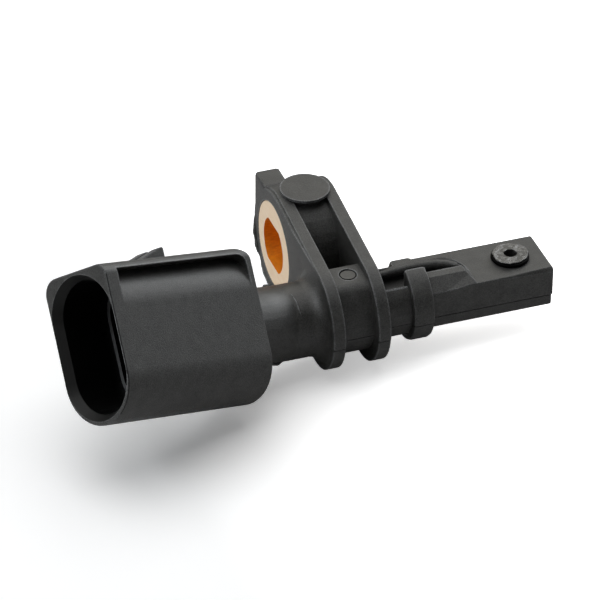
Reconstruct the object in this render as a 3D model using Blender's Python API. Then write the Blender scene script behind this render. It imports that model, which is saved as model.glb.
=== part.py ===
# Wheel speed sensor for an anti-lock brake system, in metres, +Z up.
#
# The sensor axis is X. The origin is where that axis meets the flange's seat face, the face
# that bears on the hub carrier. The tip points along +X, the bolt eye stands out along +Y,
# and the plug socket is bent off the neck and rolled about the sensor axis.

import math

import bmesh
import bpy
from mathutils import Matrix, Vector

MM = 0.001

# General
GAP = 0.30 * MM                  # clearance kept between two pieces that touch
ROUND_STEPS = 48                 # sides of the large round forms
SMALL_STEPS = 24                 # sides of posts and other small round forms
BEND_STEPS = 6                   # steps of a bend or a small fillet
EDGE = 0.25 * MM                 # edge radius left by the mould
WELD = 0.002 * MM                # points nearer than this are one
FLAT = math.radians(1.0)         # faces turned less than this are one flat face
QUARTER_TURN = 90.0              # degrees

# Flange: two plates round the sensor axis and the bolt eye
PLATE = 1.80 * MM
PLATE_SPACE = 4.75 * MM
PLATE_RADIUS = 7.55 * MM
LAND = 0.40 * MM                 # raised land on the plate that faces the plug
LAND_INSET = 0.20 * MM
LAND_TAPER = 9.00 * MM           # from here the land runs out towards the neck
EYE_RADIUS = 8.40 * MM
EYE_Y = 16.35 * MM
EYE_Z = 1.30 * MM
EYE_WALL = 1.00 * MM             # wall round the bush between the plates
WEB = 1.60 * MM                  # web between the plates, on the mould's parting plane
CORNER_END = 24.60 * MM          # squared corner block at the end of the eye
CORNER_TOP = 8.66 * MM
CORNER_DEPTH = 3.65 * MM
CORNER_START = 20.20 * MM
PAD_RADIUS = 3.50 * MM           # thin round pad that lies over the space between the plates
PAD = 0.38 * MM
PAD_TOP = 10.07 * MM

# Hub between the plates
HUB_RADIUS = 5.72 * MM
SHELF_TOP = 6.40 * MM
SHELF_NEAR = -3.00 * MM
SHELF_FAR = 1.70 * MM
SHELF_TILT = math.radians(4.0)
SHELF_NEAR_ROUND = 2.20 * MM     # the shelf runs smoothly into the hub on the near side
SHELF_FAR_ROUND = 0.60 * MM

# Bush
BUSH_RADIUS = 6.46 * MM
HOLE_RADIUS = 4.03 * MM          # round bolt hole with two flats, up and down
HOLE_HEIGHT = 6.75 * MM          # from flat to flat
BUSH_CHAMFER = 0.20 * MM

# Neck and elbow
NECK_RADIUS = 5.27 * MM
NECK_FLARE = 2.10 * MM           # radius of the neck's flare into the flange
ELBOW_INSIDE = 0.80 * MM         # bend radius on the inside of the elbow
ELBOW_REACH = 5.00 * MM          # from the land to the bend, on the sensor axis
ELBOW_ROLL = math.radians(-42.0)
ELBOW_BEND = math.radians(29.0)

# Body behind the flange, with its collar ring
BODY_RADIUS = 4.76 * MM
RING_RADIUS = 5.74 * MM
RING_START = 4.05 * MM
RING_WIDTH = 3.10 * MM
RING_EDGE = 0.45 * MM
RING_OPEN_Y = -1.15 * MM         # the ring is open past here, over the mould's flat top

# Tip
TIP_END = 25.03 * MM
TIP_HALF_WIDTH = 4.33 * MM
TIP_TOP = 3.40 * MM
TIP_BOTTOM = -2.65 * MM
FLAT_TOP = 3.37 * MM             # flat top of the far half, from the flange past the ring
HUMP = 1.20 * MM                 # rise of the near half above the tip, from the ring to a ramp
HUMP_FALL = 0.13 * MM            # from there down to the ridge
HUMP_RIDGE = -2.35 * MM
HUMP_NEAR_FALL = 0.28 * MM       # the near edge runs down this much towards the ring
RAMP_FOOT = 13.70 * MM
WEDGE_START = 14.0 * MM          # chamfer that widens along the near top edge
WEDGE_SIZE = 0.55 * MM

# Pocket beside the strut
POCKET_FLOOR = 1.60 * MM
POCKET_FAR = 2.90 * MM
POCKET_END = 13.60 * MM
LEAF = 3.20 * MM                 # length of the pocket's leaf-shaped end
POCKET_LIP = 0.60 * MM           # radius of its rounded far edge
TROUGH_NEAR = -2.60 * MM         # between the flange and the ring it is wider

# Plug socket, measured from its mouth along its own axis
SOCKET_TO_ELBOW = 35.30 * MM
SOCKET_LENGTH = 26.80 * MM
SOCKET_HALF_WIDTH = 6.20 * MM
SOCKET_HALF_HEIGHT = 10.40 * MM
SOCKET_ROOF = 10.30 * MM
SOCKET_NEAR_CORNER = 1.60 * MM
SOCKET_FAR_CORNER = 2.30 * MM
SOCKET_BACK_CORNER = 2.50 * MM
SOCKET_SIDE_WALL = 0.95 * MM
SOCKET_END_WALL = 1.40 * MM
MOUTH_FLARE = 0.80 * MM
MOUTH_DEPTH = 1.30 * MM
LEDGE_DEPTH = 9.30 * MM
LEDGE = 0.55 * MM
COLLAR = 2.20 * MM
ROOF = 1.00 * MM
BACK_WALL = 1.00 * MM
GROOVE_ROUND = 1.60 * MM         # rounded back end of the side grooves, under the roof
LATCH_START = 8.00 * MM
LATCH_END = 15.00 * MM
LATCH_RISE = 1.70 * MM
LATCH_TIP = 0.55 * MM            # rounded crest of each latch tooth
LATCH_WIDTH = 1.50 * MM
LATCH_SPACING = 2.90 * MM

# Inner carrier
FLOOR_DEPTH = 19.50 * MM         # socket floor, from the mouth
FLOOR = 1.50 * MM
CORE_RADIUS = 3.40 * MM
CORE_END = -1.00 * MM
BAR_HALF_WIDTH = 2.60 * MM
BAR_TOP = 0.60 * MM
BAR_BOTTOM = -1.55 * MM
BAR_END = 22.40 * MM
CHAMBER_TOP = 2.40 * MM          # room over the bar for the chip and the capacitor
CHAMBER_WALL = 0.60 * MM         # between the pocket's end and that room
TIP_POST_X = 20.24 * MM
TIP_POST_Y = 0.10 * MM
TIP_POST_RADIUS = 1.95 * MM
TIP_POST_TOP = 4.12 * MM
TIP_POST_HEAD = 2.42 * MM
TIP_POST_HEAD_HEIGHT = 0.20 * MM
TIP_POST_HOLE = 0.95 * MM
TIP_POST_HOLE_DEPTH = 1.60 * MM
TIP_BOSS_RADIUS = 2.50 * MM
TIP_BOSS_TOP = 3.62 * MM
HUB_POST_X = -3.95 * MM
HUB_POST_Y = -0.65 * MM
HUB_POST_RADIUS = 1.05 * MM
HUB_POST_TOP = 6.33 * MM

# Terminals, leads and electronics
TERMINAL_WIDTH = 1.50 * MM
TERMINAL_THICK = 0.60 * MM
TERMINAL_SPACING = 3.80 * MM
TERMINAL_POINT = 0.70 * MM
TERMINAL_REACH = 8.50 * MM       # how far the pins stand up from the socket floor
TERMINAL_END = -1.30 * MM
LEAD_Y = 2.05 * MM
LEAD_WIDTH = 0.40 * MM
LEAD_THICK = 0.25 * MM
LEAD_Z = 0.00 * MM
LEAD_START = 0.60 * MM
CHIP_THICK = 1.00 * MM
CHIP_HALF_WIDTH = 2.45 * MM
CHIP_TOP = 2.10 * MM
CAPACITOR_HALF_WIDTH = 1.90 * MM
CAPACITOR_HEIGHT = 1.15 * MM

# Places worked out from the sizes above
PLATE_1_BACK = -(PLATE + PLATE_SPACE)
PLATE_1_FRONT = PLATE_1_BACK - PLATE
LAND_FRONT = PLATE_1_FRONT - LAND
SPACE_MIDDLE = -(PLATE + PLATE_SPACE / 2)
ELBOW_X = LAND_FRONT - ELBOW_REACH
ELBOW_RADIUS = NECK_RADIUS + ELBOW_INSIDE
RING_END = RING_START + RING_WIDTH
MOUTH = -SOCKET_TO_ELBOW
SOCKET_BACK = MOUTH + SOCKET_LENGTH
FLOOR_FACE = MOUTH + FLOOR_DEPTH
FLOOR_BACK = FLOOR_FACE + FLOOR
BORE_RADIUS = SOCKET_HALF_WIDTH - SOCKET_SIDE_WALL
BORE_HALF_HEIGHT = SOCKET_HALF_HEIGHT - SOCKET_END_WALL
DEEP_RADIUS = BORE_RADIUS - LEDGE
DEEP_HALF_HEIGHT = BORE_HALF_HEIGHT - LEDGE
CHAMBER_START = POCKET_END + CHAMBER_WALL
CAPACITOR_START = CHAMBER_START + GAP
CAPACITOR_END = TIP_POST_X - TIP_POST_RADIUS - 2 * GAP
CHIP_START = BAR_END + GAP
CHAMBER_END = CHIP_START + CHIP_THICK + GAP

# The socket's own frame: X along its axis from mouth to elbow, Z towards its roof
SOCKET_FRAME = (Matrix.Translation((ELBOW_X, 0, 0))
                @ Matrix.Rotation(ELBOW_ROLL, 4, 'X')
                @ Matrix.Rotation(ELBOW_BEND, 4, 'Z'))
# The neck's frame before its bend: rolled like the socket, still along the sensor axis
ROLLED_FRAME = Matrix.Translation((ELBOW_X, 0, 0)) @ Matrix.Rotation(ELBOW_ROLL, 4, 'X')
# A drawing in the plane across X: drawn x goes to Y, drawn y to Z, depth to X
ACROSS = Matrix(((0, 0, 1, 0), (1, 0, 0, 0), (0, 1, 0, 0), (0, 0, 0, 1)))
# A side drawing: drawn x stays X, drawn y goes to Z, depth runs along -Y
SIDE = Matrix.Rotation(math.radians(QUARTER_TURN), 4, 'X')
IDENTITY = Matrix.Identity(4)


def clear_scene():
    for item in list(bpy.data.objects):
        bpy.data.objects.remove(item, do_unlink=True)


def make_collection(name):
    group = bpy.data.collections.new(name)
    bpy.context.scene.collection.children.link(group)
    return group


clear_scene()
PARTS = make_collection('abs_wheel_speed_sensor')
CUTTERS = make_collection('cutters')


def material(name, colour, roughness, metallic=0.0):
    made = bpy.data.materials.new(name)
    made.use_nodes = True
    shader = made.node_tree.nodes['Principled BSDF']
    shader.inputs['Base Color'].default_value = (*colour, 1.0)
    shader.inputs['Roughness'].default_value = roughness
    shader.inputs['Metallic'].default_value = metallic
    return made


def keep(name, source, group=None):
    """Puts a bmesh or a mesh in the scene as a named object, by default among the cutters."""
    if isinstance(source, bmesh.types.BMesh):
        mesh = bpy.data.meshes.new(name)
        source.to_mesh(mesh)
        source.free()
    else:
        mesh = source
    made = bpy.data.objects.new(name, mesh)
    if group is None:
        CUTTERS.objects.link(made)
        made.hide_render = True
        made.display_type = 'WIRE'
    else:
        group.objects.link(made)
    return made


def extrusion(name, outline, start, end, frame=IDENTITY, drawn=ACROSS, edge=0.0):
    """A flat outline, as a filled 2D curve, extruded from start to end and made a mesh."""
    curve = bpy.data.curves.new(name, 'CURVE')
    curve.dimensions = '2D'
    curve.fill_mode = 'BOTH'
    curve.extrude = (end - start) / 2
    spline = curve.splines.new('POLY')
    spline.points.add(len(outline) - 1)
    for point, (across, up) in zip(spline.points, outline):
        point.co = (across, up, 0, 1)
    spline.use_cyclic_u = True
    drawing = bpy.data.objects.new(name, curve)
    CUTTERS.objects.link(drawing)
    bpy.context.view_layer.update()
    seen = drawing.evaluated_get(bpy.context.evaluated_depsgraph_get())
    mesh = bpy.data.meshes.new_from_object(seen)
    bpy.data.objects.remove(drawing, do_unlink=True)
    shape = bmesh.new()
    shape.from_mesh(mesh)
    bmesh.ops.remove_doubles(shape, verts=shape.verts, dist=WELD)
    bmesh.ops.dissolve_limit(shape, angle_limit=FLAT, verts=shape.verts, edges=shape.edges)
    shift = Matrix.Translation((0, 0, (start + end) / 2))
    bmesh.ops.transform(shape, matrix=frame @ drawn @ shift, verts=shape.verts)
    bmesh.ops.recalc_face_normals(shape, faces=shape.faces)
    if edge:
        round_edges(shape, edge)
    return keep(name, shape)


def round_edges(shape, size, steps=2, sharp=math.radians(50)):
    """Rounds the sharp edges of a single plain form, before it joins the others."""
    chosen = [edge for edge in shape.edges if edge.calc_face_angle(0.0) > sharp]
    bmesh.ops.bevel(shape, geom=chosen, offset=size, segments=steps, profile=0.5, affect='EDGES')


def cylinder(name, radius, start, end, frame=IDENTITY, steps=ROUND_STEPS, edge=0.0):
    """A round bar along the frame's X, from start to end."""
    shape = bmesh.new()
    turn = Matrix.Rotation(math.radians(QUARTER_TURN), 4, 'Y')
    along = Matrix.Translation(((start + end) / 2, 0, 0)) @ turn
    bmesh.ops.create_cone(shape, cap_ends=True, segments=steps, radius1=radius, radius2=radius,
                          depth=end - start, matrix=frame @ along)
    if edge:
        round_edges(shape, edge)
    return keep(name, shape)


def upright(name, radius, bottom, top, x, y, steps=SMALL_STEPS):
    """A round post along Z."""
    shape = bmesh.new()
    place = Matrix.Translation((x, y, (bottom + top) / 2))
    bmesh.ops.create_cone(shape, cap_ends=True, segments=steps, radius1=radius, radius2=radius,
                          depth=top - bottom, matrix=place)
    return keep(name, shape)


def block(name, low, high, frame=IDENTITY, edge=0.0):
    """A box between two opposite corners."""
    size = [b - a for a, b in zip(low, high)]
    middle = [(a + b) / 2 for a, b in zip(low, high)]
    shape = bmesh.new()
    bmesh.ops.create_cube(shape, size=1.0, matrix=Matrix.Translation(middle) @ Matrix.Diagonal((*size, 1)))
    if edge:
        round_edges(shape, edge)
    bmesh.ops.transform(shape, matrix=frame, verts=shape.verts)
    return keep(name, shape)


def loft(name, rings, frame=IDENTITY):
    """A closed solid through rings with the same number of points, for unlike sections."""
    shape = bmesh.new()
    rows = [[shape.verts.new(point) for point in ring] for ring in rings]
    count = len(rings[0])
    for near, far in zip(rows, rows[1:]):
        for index in range(count):
            after = (index + 1) % count
            shape.faces.new((near[index], near[after], far[after], far[index]))
    shape.faces.new(list(reversed(rows[0])))
    shape.faces.new(rows[-1])
    bmesh.ops.recalc_face_normals(shape, faces=shape.faces)
    bmesh.ops.transform(shape, matrix=frame, verts=shape.verts)
    return keep(name, shape)


def combine(target, others, operation):
    for other in others:
        change = target.modifiers.new(other.name, 'BOOLEAN')
        change.operation = operation
        change.solver = 'EXACT'
        change.object = other


def arc(centre, radius, start, end, steps):
    """Points on an arc, angles in degrees, both ends included."""
    points = []
    for index in range(steps + 1):
        turn = math.radians(start + (end - start) * index / steps)
        points.append((centre[0] + radius * math.cos(turn), centre[1] + radius * math.sin(turn)))
    return points


def rounded(corners, steps=BEND_STEPS):
    """A closed outline, counter-clockwise, through (x, y, radius) corners, each rounded."""
    points = []
    for index, (x, y, radius) in enumerate(corners):
        here = Vector((x, y))
        if radius == 0:
            points.append((x, y))
            continue
        before = (Vector(corners[index - 1][:2]) - here).normalized()
        after = (Vector(corners[(index + 1) % len(corners)][:2]) - here).normalized()
        half = before.angle(after) / 2
        centre = here + (before + after).normalized() * (radius / math.sin(half))
        first = here + before * (radius / math.tan(half)) - centre
        last = here + after * (radius / math.tan(half)) - centre
        turn = first.angle_signed(last)
        start = math.degrees(math.atan2(first.y, first.x))
        points += arc(centre, radius, start, start - math.degrees(turn), steps)
    return points


def tangent_point(corner, radius, side):
    """Where a line from the corner touches the circle round the origin; side is 1 or -1."""
    distance = math.hypot(*corner)
    turn = math.atan2(corner[1], corner[0]) + side * math.acos(radius / distance)
    return radius * math.cos(turn), radius * math.sin(turn)


def oval(radius, half_height, steps=ROUND_STEPS // 2):
    """A stadium outline: round ends up and down, straight sides."""
    straight = half_height - radius
    return arc((0, straight), radius, 0, 180, steps) + arc((0, -straight), radius, 180, 360, steps)


def oval_ring(x, radius, half_height):
    return [Vector((x, across, up)) for across, up in oval(radius, half_height)]


def eye_outline(hub, eye):
    """The flange's outline: the hub's circle and the eye's circle with their two tangents."""
    distance = math.hypot(EYE_Y, EYE_Z)
    lean = math.degrees(math.atan2(EYE_Z, EYE_Y))
    open_angle = math.degrees(math.acos((hub - eye) / distance))
    far = arc((EYE_Y, EYE_Z), eye, lean - open_angle, lean + open_angle, ROUND_STEPS // 2)
    near = arc((0, 0), hub, lean + open_angle, lean + 360 - open_angle, ROUND_STEPS // 2)
    return far + near


def bent_bar(name, radius, start, end):
    """A round bar from start, on the socket's axis, round the elbow to end on the sensor axis."""
    circle = [Vector((0, across, up)) for across, up in arc((0, 0), radius, 0, 360, ROUND_STEPS)[:-1]]
    middle = Vector((ELBOW_RADIUS * math.tan(ELBOW_BEND / 2), -ELBOW_RADIUS, 0))
    places = [SOCKET_FRAME @ Matrix.Translation((start, 0, 0))]
    for index in range(BEND_STEPS + 1):
        turn = Matrix.Rotation(ELBOW_BEND * (1 - index / BEND_STEPS), 4, 'Z')
        out = Matrix.Translation((0, ELBOW_RADIUS, 0))
        places.append(ROLLED_FRAME @ Matrix.Translation(middle) @ turn @ out)
    places.append(ROLLED_FRAME @ Matrix.Translation((end - ELBOW_X, 0, 0)))
    return loft(name, [[place @ point for point in circle] for place in places])


def bent_strip(name, offset, grow, start, end):
    """A flat strip round the elbow in the plane of the bend, offset along the socket's height."""
    half = TERMINAL_THICK / 2 + grow
    shift = half * math.tan(ELBOW_BEND / 2)
    point = 0 if grow else TERMINAL_POINT
    tip = half / 2 if point else half
    turn = Matrix.Rotation(ELBOW_BEND, 4, 'Z')
    socket_side = [turn @ Vector((start, -tip, 0)), turn @ Vector((start + point, -half, 0))]
    socket_far = [turn @ Vector((start + point, half, 0)), turn @ Vector((start, tip, 0))]
    if not point:
        socket_side = socket_side[:1]
        socket_far = socket_far[1:]
    outline = [(corner.x, corner.y) for corner in socket_side]
    outline += [(shift, -half), (end - ELBOW_X, -half), (end - ELBOW_X, half), (-shift, half)]
    outline += [(corner.x, corner.y) for corner in socket_far]
    width = TERMINAL_WIDTH / 2 + grow
    return extrusion(name, outline, offset - width, offset + width, ROLLED_FRAME, IDENTITY)


def core_and_posts(prefix, grow):
    """The carrier's core round the bend and its two posts, or with grow the hollow round them."""
    core = bent_bar(prefix + '_core', CORE_RADIUS + grow, FLOOR_FACE + FLOOR / 2, CORE_END + grow)
    tip_post = upright(prefix + '_tip_post', TIP_POST_RADIUS + grow, 0,
                       TIP_POST_TOP - TIP_POST_HEAD_HEIGHT / 2, TIP_POST_X, TIP_POST_Y, ROUND_STEPS)
    hub_post = upright(prefix + '_hub_post', HUB_POST_RADIUS + grow, 0, HUB_POST_TOP + 2 * grow,
                       HUB_POST_X, HUB_POST_Y)
    return core, [tip_post, hub_post]


def flange_forms():
    """The two plates, the land, the hub, the eye's wall, the web, the corner and the pad."""
    plate_outline = eye_outline(PLATE_RADIUS, EYE_RADIUS)
    land_outline = eye_outline(PLATE_RADIUS - LAND_INSET, EYE_RADIUS - LAND_INSET)
    seat_plate = extrusion('seat_plate', plate_outline, -PLATE, 0, edge=EDGE / 2)
    front_plate = extrusion('front_plate', plate_outline, PLATE_1_FRONT, PLATE_1_BACK, edge=EDGE / 2)
    land = extrusion('land', land_outline, LAND_FRONT, PLATE_1_FRONT + EDGE, edge=EDGE / 2)
    slope = LAND / LAND_TAPER
    clear = PLATE_RADIUS * 2
    ahead = LAND_FRONT - LAND
    taper_outline = [(LAND_FRONT + slope * (LAND_TAPER + clear), -clear), (ahead, LAND_TAPER * 2),
                     (ahead, -clear)]
    taper = extrusion('land_taper', taper_outline, -clear, clear, drawn=IDENTITY)
    combine(land, [taper], 'DIFFERENCE')
    eye_frame = Matrix.Translation((0, EYE_Y, EYE_Z))
    wall_radius = BUSH_RADIUS + GAP + EYE_WALL
    inside = (PLATE_1_BACK - EDGE * 2, -PLATE + EDGE * 2)
    wall = cylinder('eye_wall', wall_radius, *inside, eye_frame)
    hub = cylinder('hub', HUB_RADIUS, *inside)
    tilt = Matrix.Rotation(SHELF_TILT, 4, 'X')
    far_foot = tangent_point((SHELF_FAR, SHELF_TOP), HUB_RADIUS, -1)
    near_foot = tangent_point((SHELF_NEAR, SHELF_TOP), HUB_RADIUS, 1)
    shelf_outline = rounded([(*far_foot, 0), (SHELF_FAR, SHELF_TOP, SHELF_FAR_ROUND),
                             (SHELF_NEAR, SHELF_TOP, SHELF_NEAR_ROUND), (*near_foot, 0), (0, 0, 0)])
    shelf = extrusion('shelf', shelf_outline, *inside, tilt)
    web = block('web', (inside[0], 0, -WEB / 2), (inside[1], EYE_Y, WEB / 2))
    corner = block('corner', (LAND_FRONT, CORNER_START, 0),
                   (LAND_FRONT + CORNER_DEPTH, CORNER_END, CORNER_TOP), edge=EDGE * 2)
    pad = upright('pad', PAD_RADIUS, PAD_TOP - PAD, PAD_TOP, SPACE_MIDDLE, EYE_Y, ROUND_STEPS)
    stem = upright('pad_stem', PLATE_SPACE / 2 + EDGE, EYE_Z + wall_radius - WEB, PAD_TOP - PAD / 2,
                   SPACE_MIDDLE, EYE_Y)
    return seat_plate, [front_plate, land, wall, hub, shelf, web, corner, pad, stem]


def pocket_outline(grow):
    """The pocket from above: straight sides and a leaf-shaped end, with its far edge moved out."""
    outline = [(-PLATE, RING_OPEN_Y)]
    for index in range(ROUND_STEPS // 4 + 1):
        turn = math.pi / 2 * index / (ROUND_STEPS // 4)
        outline.append((POCKET_END - LEAF + LEAF * math.cos(turn),
                        RING_OPEN_Y + (POCKET_FAR - RING_OPEN_Y + grow) * math.sin(turn)))
    outline.append((-PLATE, POCKET_FAR + grow))
    return outline


def build_pocket():
    """The cutter for the pocket, whose far edge is rounded at the top."""
    levels = [(0, POCKET_FLOOR)]
    for index in range(BEND_STEPS + 1):
        turn = math.pi / 2 * index / BEND_STEPS
        levels.append((POCKET_LIP * (1 - math.cos(turn)), TIP_TOP - POCKET_LIP * (1 - math.sin(turn))))
    levels.append((POCKET_LIP, RING_RADIUS * 2))
    rings = [[Vector((x, y, z)) for x, y in pocket_outline(grow)] for grow, z in levels]
    return loft('pocket', rings)


def build_hump():
    """The near half's raised form between the ring and the ramp, and the cutter for its slopes."""
    buried = RING_START + RING_WIDTH / 2
    over = HUMP + EDGE
    side = [(buried, 0), (RAMP_FOOT + EDGE, 0), (RAMP_FOOT + EDGE, TIP_TOP - EDGE),
            (RAMP_FOOT - over, TIP_TOP + over), (buried, TIP_TOP + over)]
    far = RING_OPEN_Y + EDGE / 2
    hump = extrusion('hump', side, -far, TIP_HALF_WIDTH - EDGE / 4, drawn=SIDE)
    ridge_z = TIP_TOP + HUMP - HUMP_FALL
    fall = HUMP_FALL / (RING_OPEN_Y - HUMP_RIDGE)
    high = TIP_TOP + HUMP * 2
    rings = []
    for x in (buried - EDGE, RAMP_FOOT + EDGE * 2):
        near_z = TIP_TOP - HUMP_NEAR_FALL * (RAMP_FOOT - x) / (RAMP_FOOT - RING_END)
        slope = (ridge_z - near_z) / (HUMP_RIDGE + TIP_HALF_WIDTH)
        rings.append([Vector((x, HUMP_RIDGE, ridge_z)),
                      Vector((x, far + over, ridge_z + fall * (far + over - HUMP_RIDGE))),
                      Vector((x, far + over, high)), Vector((x, -TIP_HALF_WIDTH - over, high)),
                      Vector((x, -TIP_HALF_WIDTH - over, near_z - slope * over))])
    return hump, loft('hump_slopes', rings)


def build_tip():
    """Body, collar ring and squared tip, with the flat far top, the pocket and the chamfer."""
    clear = RING_RADIUS * 2
    middle = (RING_OPEN_Y + POCKET_FAR) / 2
    body = cylinder('body', BODY_RADIUS, -PLATE / 2, RING_END - EDGE)
    trough = block('trough', (-PLATE, TROUGH_NEAR, POCKET_FLOOR), (RING_START + EDGE, middle, clear))
    combine(body, [trough], 'DIFFERENCE')
    ring = cylinder('ring', RING_RADIUS, RING_START, RING_END, edge=RING_EDGE)
    tip = block('tip', (RING_START + RING_WIDTH / 2, -TIP_HALF_WIDTH, TIP_BOTTOM),
                (TIP_END, TIP_HALF_WIDTH, TIP_TOP), edge=EDGE)
    hump, slopes = build_hump()
    combine(tip, [hump], 'UNION')
    combine(tip, [slopes], 'DIFFERENCE')
    boss = upright('tip_boss', TIP_BOSS_RADIUS, 0, TIP_BOSS_TOP, TIP_POST_X, TIP_POST_Y, ROUND_STEPS)
    flat = block('flat_top', (-PLATE, middle, FLAT_TOP), (RING_END + EDGE, clear, clear))
    combine(body, [ring], 'UNION')
    combine(body, [flat], 'DIFFERENCE')
    combine(body, [tip, boss], 'UNION')
    combine(body, [build_pocket(), build_wedge()], 'DIFFERENCE')
    return body


def build_wedge():
    """The cutter for the chamfer that widens along the tip's near top edge."""
    rings = []
    out = TIP_HALF_WIDTH / 2
    for x, size in ((WEDGE_START, WEDGE_SIZE / 20), (TIP_END + EDGE, WEDGE_SIZE)):
        corner = Vector((x, -TIP_HALF_WIDTH, TIP_TOP))
        rings.append([corner + Vector((0, -out, -size - out)), corner + Vector((0, size + out, out)),
                      corner + Vector((0, -out, out))])
    return loft('wedge', rings)


def socket_forms():
    """The socket's outer form with its side grooves, latch teeth and rounded back corner."""
    straight = SOCKET_HALF_HEIGHT - SOCKET_HALF_WIDTH
    quarter = ROUND_STEPS // 6
    outline = []
    for side, radius, start in ((1, SOCKET_FAR_CORNER, 0), (-1, SOCKET_NEAR_CORNER, 90)):
        centre = (side * (SOCKET_HALF_WIDTH - radius), SOCKET_ROOF - radius)
        outline += arc(centre, radius, start, start + QUARTER_TURN, quarter)
    outline += arc((0, -straight), SOCKET_HALF_WIDTH, 180, 360, ROUND_STEPS // 2)
    shell = extrusion('socket', outline, MOUTH, SOCKET_BACK, SOCKET_FRAME, edge=EDGE)

    round_start = SOCKET_BACK - SOCKET_BACK_CORNER
    over = SOCKET_ROOF + MOUTH_DEPTH
    corner_side = arc((round_start, SOCKET_ROOF - SOCKET_BACK_CORNER), SOCKET_BACK_CORNER,
                      0, QUARTER_TURN, quarter)
    corner_side += [(round_start, over), (SOCKET_BACK + MOUTH_DEPTH, over),
                    (SOCKET_BACK + MOUTH_DEPTH, SOCKET_ROOF - SOCKET_BACK_CORNER)]
    back_corner = extrusion('back_corner', corner_side, -SOCKET_HALF_WIDTH * 2, SOCKET_HALF_WIDTH * 2,
                            SOCKET_FRAME, SIDE)

    under_roof = SOCKET_ROOF - ROOF
    in_roof = SOCKET_ROOF - ROOF / 2
    top_turn = math.degrees(math.asin((in_roof - straight) / SOCKET_HALF_WIDTH))
    groove_side = rounded([(MOUTH, 0, 0), (SOCKET_BACK - BACK_WALL, 0, 0),
                           (SOCKET_BACK - BACK_WALL, under_roof, GROOVE_ROUND), (MOUTH, under_roof, 0)])
    grooves = []
    for side in (-1, 1):
        edge = arc((0, straight), SOCKET_HALF_WIDTH, 0, top_turn, quarter * 2)
        edge += [(SOCKET_HALF_WIDTH + ROOF, in_roof), (SOCKET_HALF_WIDTH + ROOF, straight)]
        drawn = [(side * across, up) for across, up in edge]
        name = 'groove_near' if side < 0 else 'groove_far'
        groove = extrusion(name, drawn, MOUTH + COLLAR, SOCKET_BACK + ROOF, SOCKET_FRAME)
        profile = extrusion(name + '_side', groove_side, -SOCKET_HALF_WIDTH * 2, SOCKET_HALF_WIDTH * 2,
                            SOCKET_FRAME, SIDE)
        combine(groove, [profile], 'INTERSECT')
        grooves.append(groove)

    teeth = []
    start = MOUTH + LATCH_START
    end = MOUTH + LATCH_END
    crest = SOCKET_ROOF + LATCH_RISE
    profile = rounded([(start, in_roof, 0), (end, in_roof, 0), (end, crest, LATCH_TIP / 2),
                       (end - LATCH_TIP, crest, LATCH_RISE)])
    for side in (-1, 1):
        middle = side * LATCH_SPACING / 2
        teeth.append(extrusion('latch_%s' % ('near' if side < 0 else 'far'), profile,
                               middle - LATCH_WIDTH / 2, middle + LATCH_WIDTH / 2, SOCKET_FRAME, SIDE))
    return shell, back_corner, grooves, teeth


def socket_bore():
    """The bore: flared mouth, seal wall, ledge and the narrower room for the pins."""
    out = MOUTH_DEPTH
    flare = MOUTH_FLARE * (MOUTH_DEPTH + out) / MOUTH_DEPTH
    rings = [oval_ring(MOUTH - out, BORE_RADIUS + flare, BORE_HALF_HEIGHT + flare),
             oval_ring(MOUTH + MOUTH_DEPTH, BORE_RADIUS, BORE_HALF_HEIGHT),
             oval_ring(MOUTH + LEDGE_DEPTH, BORE_RADIUS, BORE_HALF_HEIGHT),
             oval_ring(MOUTH + LEDGE_DEPTH, DEEP_RADIUS, DEEP_HALF_HEIGHT),
             oval_ring(FLOOR_BACK + GAP, DEEP_RADIUS, DEEP_HALF_HEIGHT)]
    return loft('bore', rings, SOCKET_FRAME)


def build_housing(colour):
    """The one moulded body: socket, neck, flange, ring and tip."""
    first, flange = flange_forms()
    shell, back_corner, grooves, teeth = socket_forms()
    combine(shell, grooves + [back_corner], 'DIFFERENCE')
    neck = bent_bar('neck', NECK_RADIUS, SOCKET_BACK - BACK_WALL, PLATE_1_BACK - EDGE)
    flare_rings = []
    for index in range(BEND_STEPS + 1):
        turn = math.pi / 2 * index / BEND_STEPS
        radius = NECK_RADIUS + NECK_FLARE * (1 - math.cos(turn))
        x = PLATE_1_FRONT - NECK_FLARE * (1 - math.sin(turn))
        circle = arc((0, 0), radius, 0, 360, ROUND_STEPS)[:-1]
        flare_rings.append([Vector((x, across, up)) for across, up in circle])
    last = [point + Vector((EDGE, 0, 0)) for point in flare_rings[-1]]
    flare = loft('neck_flare', flare_rings + [last])

    housing = keep('housing', first.data.copy(), PARTS)
    combine(housing, flange, 'UNION')
    combine(housing, [build_tip(), neck, flare, shell] + teeth, 'UNION')
    eye_frame = Matrix.Translation((0, EYE_Y, EYE_Z))
    bush_hole = cylinder('bush_hole', BUSH_RADIUS + GAP, LAND_FRONT - PLATE, PLATE, eye_frame)
    hollow, posts = core_and_posts('hollow', GAP)
    room_side = [(CORE_END - FLOOR, BAR_BOTTOM - GAP), (CHAMBER_END, BAR_BOTTOM - GAP),
                 (CHAMBER_END, CHAMBER_TOP), (CHAMBER_START, CHAMBER_TOP),
                 (CHAMBER_START, BAR_TOP + GAP), (CORE_END - FLOOR, BAR_TOP + GAP)]
    room = BAR_HALF_WIDTH + GAP
    chamber = extrusion('chamber', room_side, -room, room, drawn=SIDE)
    combine(housing, [bush_hole, socket_bore(), hollow, chamber] + posts, 'DIFFERENCE')
    housing.data.materials.append(colour)
    return housing


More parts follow.
